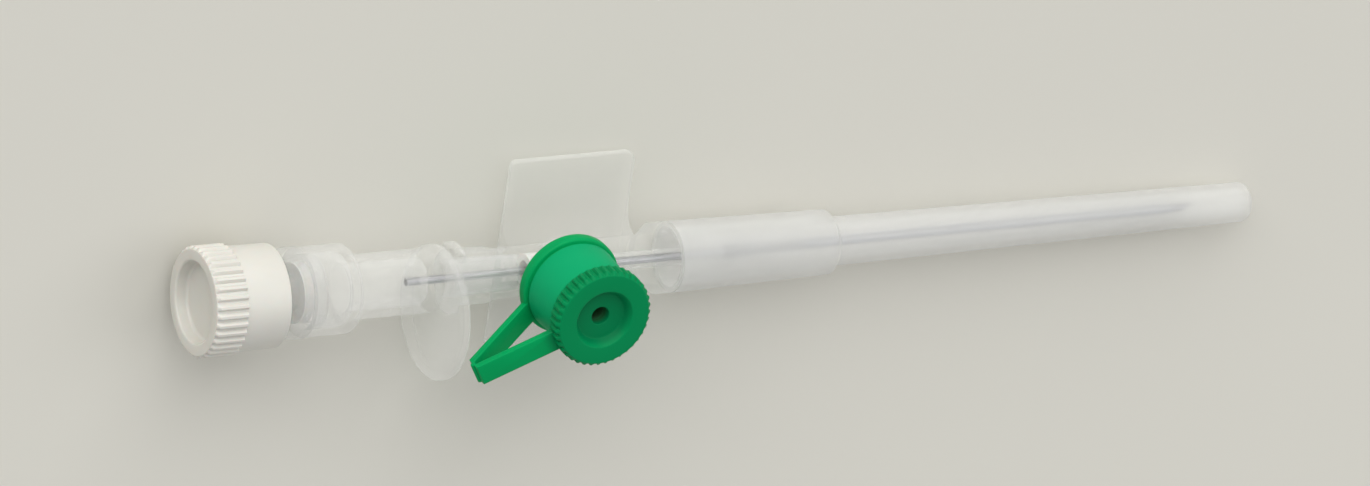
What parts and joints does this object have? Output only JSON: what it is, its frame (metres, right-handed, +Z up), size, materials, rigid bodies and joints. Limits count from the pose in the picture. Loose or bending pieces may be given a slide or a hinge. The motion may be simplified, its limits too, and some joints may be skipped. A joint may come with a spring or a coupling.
{
  "type": "iv cannula",
  "caption": "Ported intravenous cannula with flat wings, swivelling port cap on a strap, thumb plate, flash chamber, locking luer plug and needle cover.",
  "frame": {"origin": "centre of the bounding box's underside, below the cannula's axis", "axes": "+X along the cannula towards the needle's tip, +Z up the injection port"},
  "size_m": [0.1266, 0.022, 0.0183],
  "materials": {
    "clear_plastic": "clear polypropylene, glossy",
    "milky_plastic": "translucent polyethylene, satin",
    "green_plastic": "green polyethylene, satin gloss",
    "white_plastic": "white polypropylene, satin gloss",
    "catheter_polymer": "soft fluoropolymer with faint stripes",
    "needle_steel": "drawn stainless steel",
    "silicone": "soft translucent silicone",
    "porous_white": "sintered porous plastic"
  },
  "bodies": {
    "catheter": {"catheter_hub": "clear_plastic", "catheter_tube": "catheter_polymer", "catheter_ferrule": "needle_steel", "port_valve": "silicone"},
    "cover": {"needle_cover": "milky_plastic"},
    "needle_unit": {"needle": "needle_steel", "needle_hub": "clear_plastic", "flash_chamber_cap": "clear_plastic", "flash_filter": "porous_white"},
    "plug": {"luer_plug": "white_plastic"},
    "port_collar": {"port_cap_collar": "green_plastic"},
    "port_lid": {"port_cap_lid": "green_plastic"}
  },
  "joints": [
    {"name": "cover_pull", "type": "slide", "parent": "catheter", "child": "cover", "axis": [1, 0, 0], "range_m": [0, 0.075]},
    {"name": "needle_withdraw", "type": "slide", "parent": "catheter", "child": "needle_unit", "axis": [-1, 0, 0], "range_m": [0, 0.095]},
    {"name": "plug_pull", "type": "slide", "parent": "needle_unit", "child": "plug", "axis": [-1, 0, 0], "range_m": [0, 0.012]},
    {"name": "port_cap_swivel", "type": "hinge", "parent": "catheter", "child": "port_collar", "pos_m": [-0.0206, 0, 0.012], "axis": [0, 0, 1], "range_deg": [0, 270]},
    {"name": "port_lid_hinge", "type": "hinge", "parent": "port_collar", "child": "port_lid", "pos_m": [-0.03281, -0.00705, 0.01434], "axis": [0.5, -0.866, 0], "range_deg": [0, 135]}
  ]
}
